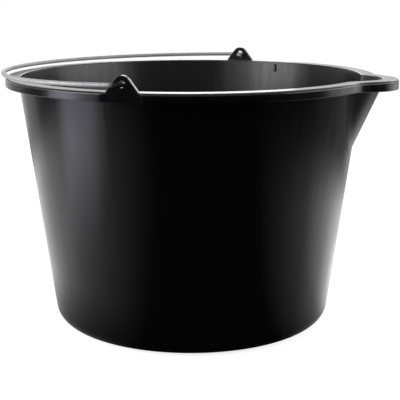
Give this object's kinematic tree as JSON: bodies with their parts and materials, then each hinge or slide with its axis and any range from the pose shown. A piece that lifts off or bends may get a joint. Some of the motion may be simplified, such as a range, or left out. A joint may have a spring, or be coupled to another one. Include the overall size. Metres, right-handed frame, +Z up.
{
  "type": "bucket",
  "caption": "Round tapered bucket with a moulded pouring spout, a wide turned-down rim and a wire bail that swings in ears standing on the rim.",
  "frame": {"origin": "on the floor, at the axis of the bucket's round wall", "axes": "+Z up along the wall's axis, +X towards the pouring spout, +Y through one ear, along the bail's pivot line"},
  "size_m": [0.4036, 0.384, 0.2698],
  "materials": {
    "black_polypropylene": "moulded, satin",
    "galvanised_wire": "galvanised, dull bright"
  },
  "bodies": {
    "bucket": {"bucket_body": "black_polypropylene"},
    "bail": {"bail": "galvanised_wire"}
  },
  "joints": [
    {"name": "bail_swing", "type": "hinge", "parent": "bucket", "child": "bail", "pos_m": [0, 0, 0.2614], "axis": [0, 1, 0], "range_deg": [-1, 182]}
  ]
}
